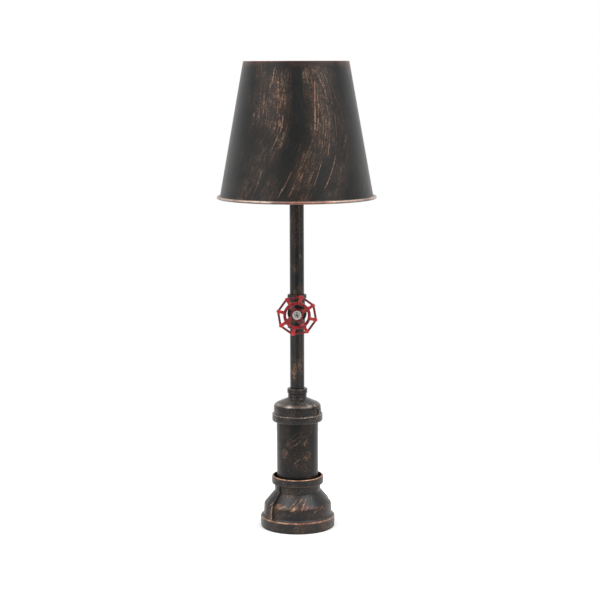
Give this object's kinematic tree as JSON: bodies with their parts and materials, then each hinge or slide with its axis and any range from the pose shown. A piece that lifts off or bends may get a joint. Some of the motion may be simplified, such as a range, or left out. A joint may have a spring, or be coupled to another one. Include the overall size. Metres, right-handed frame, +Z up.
{
  "type": "table lamp",
  "caption": "Table lamp built from pipe fittings: ribbed cast base, tube column, stem with a valve handwheel as its rotary switch, bulb holder and a conical metal shade.",
  "frame": {"origin": "Centre of the round foot, on the surface that the lamp stands on.", "axes": "+Z up the stem; -Y towards the front, where the handwheel faces; +X to the right of someone facing the handwheel."},
  "size_m": [0.2378, 0.2378, 0.7015],
  "materials": {
    "aged_black_iron": "matt black paint brushed with copper, worn to copper on the edges",
    "aged_black_sheet": "satin black paint with fine curved copper brush strokes",
    "red_enamel": "glossy red with dark antiquing in the corners",
    "nickel": "nickel plate",
    "zinc_steel": "zinc plated",
    "cast_weight": "raw casting",
    "felt": "black felt",
    "black_rubber": "matt",
    "phenolic": "moulded black phenolic",
    "ceramic": "glazed ceramic",
    "brass": "bright",
    "bulb_aluminium": "rolled aluminium",
    "clear_glass": "clear",
    "vitrite": "black glass",
    "phosphor": "yellow silicone over the filament chips",
    "lead_sleeve": "black insulation"
  },
  "bodies": {
    "stand": {"foot_pad": "felt", "cover_plate": "zinc_steel", "cover_screws": "zinc_steel", "base_reducer": "aged_black_iron", "cord_grommet": "black_rubber", "base_weight": "cast_weight", "clamp_rod": "zinc_steel", "clamp_washer": "zinc_steel", "clamp_nut": "zinc_steel", "cap_nut": "zinc_steel", "column_tube": "aged_black_sheet", "cap_reducer": "aged_black_iron", "lower_pipe": "aged_black_sheet", "tee_fitting": "aged_black_iron", "branch_bushing": "aged_black_iron", "switch_body": "zinc_steel", "switch_terminals": "brass", "switch_locknut": "aged_black_iron", "upper_pipe": "aged_black_sheet", "pipe_plug": "zinc_steel", "holder_nipple": "zinc_steel", "nipple_nut": "zinc_steel", "holder_cup": "aged_black_sheet", "lamp_holder": "phenolic", "holder_insulator": "ceramic", "screw_shell": "brass", "centre_contact": "brass", "shade_ring_nut": "phenolic", "switch_lead": "lead_sleeve"},
    "wheel": {"switch_shaft": "zinc_steel", "handwheel": "red_enamel", "wheel_washer": "nickel", "wheel_screw": "nickel"},
    "shade": {"shade_spider": "aged_black_sheet", "shade_cone": "aged_black_sheet", "rim_wire": "zinc_steel"},
    "bulb": {"bulb_globe": "clear_glass", "bulb_cap": "bulb_aluminium", "bulb_vitrite": "vitrite", "bulb_contact": "brass", "bulb_mount": "clear_glass", "filament_plates": "zinc_steel", "filaments": "phosphor"}
  },
  "joints": [
    {"name": "handwheel_turn", "type": "hinge", "parent": "stand", "child": "wheel", "pos_m": [0, -0.0464, 0.33], "axis": [0, 1, 0], "range_deg": [0, 300]},
    {"name": "shade_swivel", "type": "hinge", "parent": "stand", "child": "shade", "pos_m": [0, 0, 0.5753], "axis": [0, 0, 1], "continuous": true},
    {"name": "bulb_lift", "type": "slide", "parent": "stand", "child": "bulb", "axis": [0, 0, 1], "range_m": [0, 0.12]}
  ]
}
